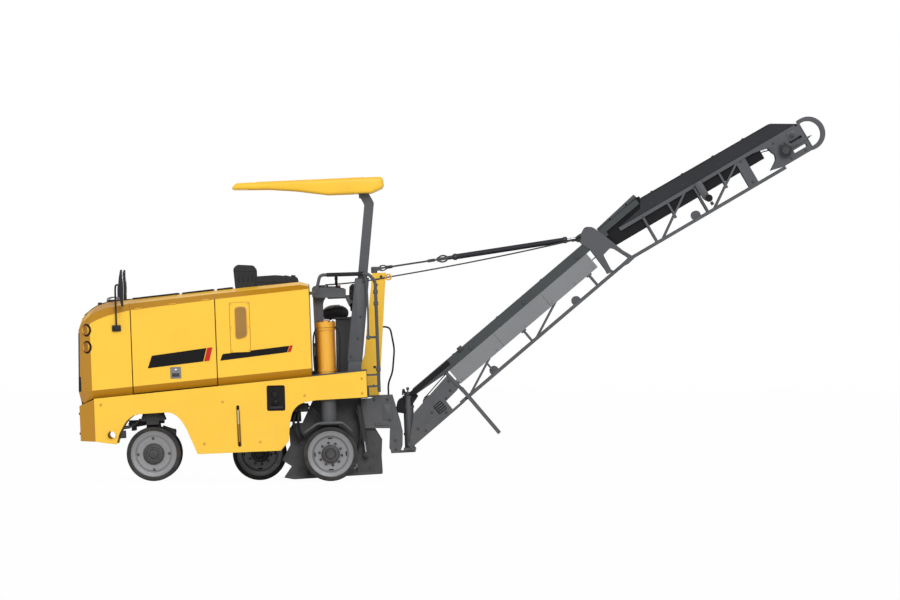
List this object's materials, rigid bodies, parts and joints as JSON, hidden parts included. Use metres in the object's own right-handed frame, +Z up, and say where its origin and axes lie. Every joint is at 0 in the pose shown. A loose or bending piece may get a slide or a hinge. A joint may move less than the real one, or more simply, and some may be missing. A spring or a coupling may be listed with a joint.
{
  "type": "small wheeled cold planer",
  "caption": "Compact road milling machine on solid wheels with a rear milling drum, canopy over a stand-up operator's place and a slewing discharge conveyor.",
  "frame": {"origin": "On the floor under the middle of the machine's box, conveyor included.", "axes": "+X from the nose to the conveyor's discharge end, +Y to the machine's right side, +Z up."},
  "size_m": [9.0892, 2.0406, 4.4359],
  "materials": {
    "dark_paint": "satin",
    "black_plastic": "matte",
    "grey_paint": "satin",
    "belt_rubber": "matte",
    "rod_steel": "polished",
    "chassis_paint": "satin",
    "yellow_paint": "gloss",
    "cast_iron": "rough",
    "tyre": "matte",
    "gold_paint": "gloss",
    "drum_steel": "worn",
    "seat_fabric": "matte",
    "roof_shell": "gloss"
  },
  "bodies": {
    "hull": {"main_frame": "chassis_paint", "left_skirt": "yellow_paint", "right_skirt": "yellow_paint", "front_bumper": "yellow_paint", "hood_front": "yellow_paint", "front_grille": "black_plastic", "hood_top": "yellow_paint", "rear_hood": "yellow_paint", "engine_block": "cast_iron", "exhaust_box": "black_plastic", "left_mirror": "black_plastic", "left_side_plate": "dark_paint", "right_mirror": "black_plastic", "right_side_plate": "dark_paint", "front_axle": "chassis_paint", "left_rear_column": "gold_paint", "left_rear_leg": "dark_paint", "drum_housing": "dark_paint", "platform": "dark_paint", "seat_pedestal": "dark_paint", "seat_cushion": "seat_fabric", "seat_back": "seat_fabric", "control_console": "black_plastic", "handrail": "dark_paint", "canopy_frame": "dark_paint", "canopy_roof": "roof_shell", "stay_mast": "yellow_paint", "hydraulic_hose": "belt_rubber", "conveyor_bracket": "dark_paint"},
    "left_engine_door": {"left_engine_door": "yellow_paint"},
    "right_engine_door": {"right_engine_door": "yellow_paint"},
    "left_knuckle": {"left_knuckle": "chassis_paint"},
    "right_knuckle": {"right_knuckle": "chassis_paint"},
    "tie_rod": {"tie_rod": "chassis_paint"},
    "left_front_wheel": {"left_front_wheel": "tyre"},
    "right_front_wheel": {"right_front_wheel": "tyre"},
    "left_rear_wheel": {"left_rear_wheel": "tyre"},
    "right_rear_arm": {"right_rear_arm": "dark_paint"},
    "right_rear_wheel": {"right_rear_wheel": "tyre"},
    "milling_drum": {"milling_drum": "drum_steel"},
    "slew_frame": {"slew_frame": "dark_paint"},
    "conveyor": {"left_upper_truss": "dark_paint", "right_upper_truss": "dark_paint", "head_pulley": "dark_paint", "head_guard": "dark_paint", "conveyor_upper_cover": "black_plastic", "left_lower_truss": "dark_paint", "left_conveyor_panel": "grey_paint", "right_lower_truss": "dark_paint", "right_conveyor_panel": "grey_paint", "roller_frame": "dark_paint", "tail_pulley": "dark_paint", "conveyor_lower_cover": "dark_paint", "conveyor_belt": "belt_rubber", "stay_gussets": "dark_paint"},
    "conveyor_stand": {"conveyor_stand": "dark_paint"},
    "stay_swivel": {"stay_swivel": "dark_paint"},
    "stay": {"stay_rope": "dark_paint", "stay_barrel": "dark_paint"},
    "stay_rod": {"stay_rod": "rod_steel"}
  },
  "joints": [
    {"name": "left_steer", "type": "hinge", "parent": "hull", "child": "left_knuckle", "pos_m": [-3.62665, -0.6, 0.32976], "axis": [-0.0384, 0, 0.9993], "range_deg": [-30, 30]},
    {"name": "right_steer", "type": "hinge", "parent": "hull", "child": "right_knuckle", "pos_m": [-3.62665, 0.6, 0.32976], "axis": [-0.0384, 0, 0.9993], "range_deg": [-30, 30]},
    {"name": "tie_rod_slide", "type": "slide", "parent": "hull", "child": "tie_rod", "axis": [0, -1, 0], "range_m": [-0.13, 0.13]},
    {"name": "left_front_roll", "type": "hinge", "parent": "left_knuckle", "child": "left_front_wheel", "pos_m": [-3.62665, -0.6, 0.32976], "axis": [0, 1, 0], "continuous": true},
    {"name": "right_front_roll", "type": "hinge", "parent": "right_knuckle", "child": "right_front_wheel", "pos_m": [-3.62665, 0.6, 0.32976], "axis": [0, 1, 0], "continuous": true},
    {"name": "left_rear_roll", "type": "hinge", "parent": "hull", "child": "left_rear_wheel", "pos_m": [-1.47707, -0.645, 0.32976], "axis": [0, 1, 0], "continuous": true},
    {"name": "right_rear_swing", "type": "hinge", "parent": "hull", "child": "right_rear_arm", "pos_m": [-1.94026, 0.69, 0.82091], "axis": [0.0384, 0, -0.9993], "range_deg": [0, 180]},
    {"name": "right_rear_roll", "type": "hinge", "parent": "right_rear_arm", "child": "right_rear_wheel", "pos_m": [-2.35171, 0.42, 0.32976], "axis": [0, 1, 0], "continuous": true},
    {"name": "drum_spin", "type": "hinge", "parent": "hull", "child": "milling_drum", "pos_m": [-1.42639, 0, 0.46932], "axis": [0, 1, 0], "continuous": true},
    {"name": "left_door_lift", "type": "hinge", "parent": "hull", "child": "left_engine_door", "pos_m": [-3.91899, -0.79, 2.07822], "axis": [-0.992, 0, -0.1262], "range_deg": [0, 80]},
    {"name": "right_door_lift", "type": "hinge", "parent": "hull", "child": "right_engine_door", "pos_m": [-3.91899, 0.79, 2.07822], "axis": [0.992, 0, 0.1262], "range_deg": [0, 80]},
    {"name": "conveyor_slew", "type": "hinge", "parent": "hull", "child": "slew_frame", "pos_m": [-0.51695, 0, 0.44922], "axis": [-0.0384, 0, 0.9993], "range_deg": [-20, 20]},
    {"name": "conveyor_luff", "type": "hinge", "parent": "slew_frame", "child": "conveyor", "pos_m": [-0.51675, 0, 0.44422], "axis": [0, -1, 0], "range_deg": [-10, 2]},
    {"name": "stand_fold", "type": "hinge", "parent": "conveyor", "child": "conveyor_stand", "pos_m": [0.19744, 0, 1.0254], "axis": [0, -1, 0], "range_deg": [0, 80]},
    {"name": "stay_yaw", "type": "hinge", "parent": "hull", "child": "stay_swivel", "pos_m": [-0.95322, 0, 2.58405], "axis": [-0.0384, 0, 0.9993], "range_deg": [-17.4, 17.4]},
    {"name": "stay_pitch", "type": "hinge", "parent": "stay_swivel", "child": "stay", "pos_m": [-0.88127, 0, 2.58681], "axis": [0, -1, 0], "range_deg": [-9.1, 1.9]},
    {"name": "stay_extend", "type": "slide", "parent": "stay", "child": "stay_rod", "axis": [0.9884, 0, 0.1516], "range_m": [-0.078, 0.386]}
  ],
  "couplings": [
    {"joint": "right_steer", "follows": "left_steer", "ratio": 1},
    {"joint": "tie_rod_slide", "follows": "left_steer", "m_per_rad": 0.24},
    {"joint": "stay_yaw", "follows": "conveyor_slew", "ratio": 0.87},
    {"joint": "stay_pitch", "follows": "conveyor_luff", "ratio": 0.905},
    {"joint": "stay_extend", "follows": "conveyor_luff", "m_per_rad": -2.2}
  ]
}
